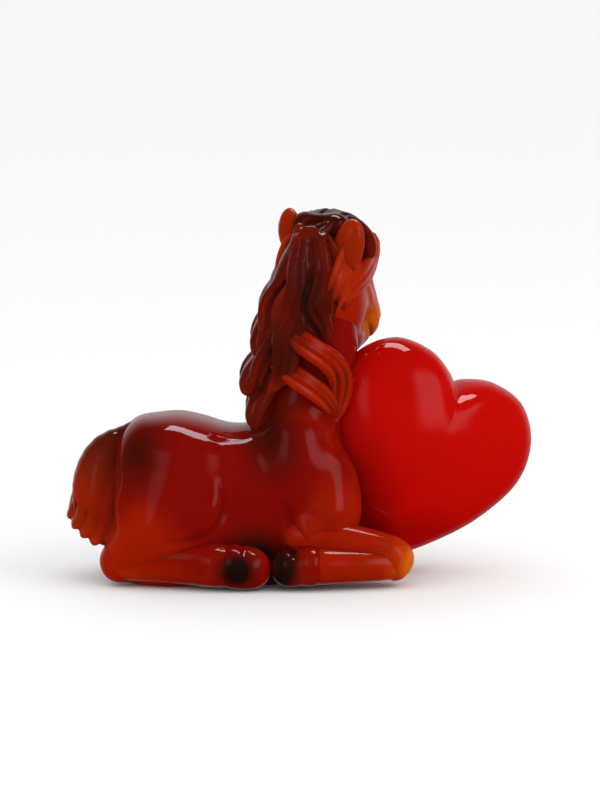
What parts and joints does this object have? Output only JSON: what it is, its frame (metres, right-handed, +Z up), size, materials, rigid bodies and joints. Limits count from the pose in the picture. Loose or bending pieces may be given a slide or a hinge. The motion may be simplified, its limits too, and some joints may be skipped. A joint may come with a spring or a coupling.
{
  "type": "glass horse figurine",
  "caption": "Glossy amber-glass horse lying with folded legs, its head turned to rest on a large puffed red heart that leans on its chest.",
  "frame": {"origin": "middle of the whole figurine's box, on the surface that it stands on", "axes": "+X from the horse's tail towards the heart, +Y towards the horse's left, +Z up"},
  "size_m": [0.0842, 0.035, 0.0677],
  "materials": {
    "amber_glass": "polished, cloudy red-amber glass",
    "smoked_amber": "polished, smoke-darkened amber glass",
    "dark_glass": "polished, near-black smoked glass",
    "red_glass": "polished, opaque-looking red glass"
  },
  "bodies": {
    "root": {"body": "amber_glass", "head": "amber_glass", "ear_left": "amber_glass", "ear_right": "amber_glass", "eye_left": "dark_glass", "eye_right": "dark_glass", "heart": "red_glass", "hind_cannon_left": "amber_glass", "hind_hoof_left": "dark_glass", "forearm_left": "amber_glass", "fore_cannon_left": "amber_glass", "fore_hoof_left": "dark_glass", "hind_cannon_right": "amber_glass", "hind_hoof_right": "dark_glass", "forearm_right": "amber_glass", "fore_cannon_right": "amber_glass", "fore_hoof_right": "dark_glass", "mane_crest": "smoked_amber", "forelock": "smoked_amber", "mane_curtain_left": "smoked_amber", "mane_upper_lock_left": "smoked_amber", "mane_lower_lock_left": "smoked_amber", "cheek_lock_left": "smoked_amber", "mane_curtain_right": "smoked_amber", "mane_upper_lock_right": "smoked_amber", "mane_lower_lock_right": "smoked_amber", "cheek_lock_right": "smoked_amber", "tail": "amber_glass"}
  },
  "joints": []
}
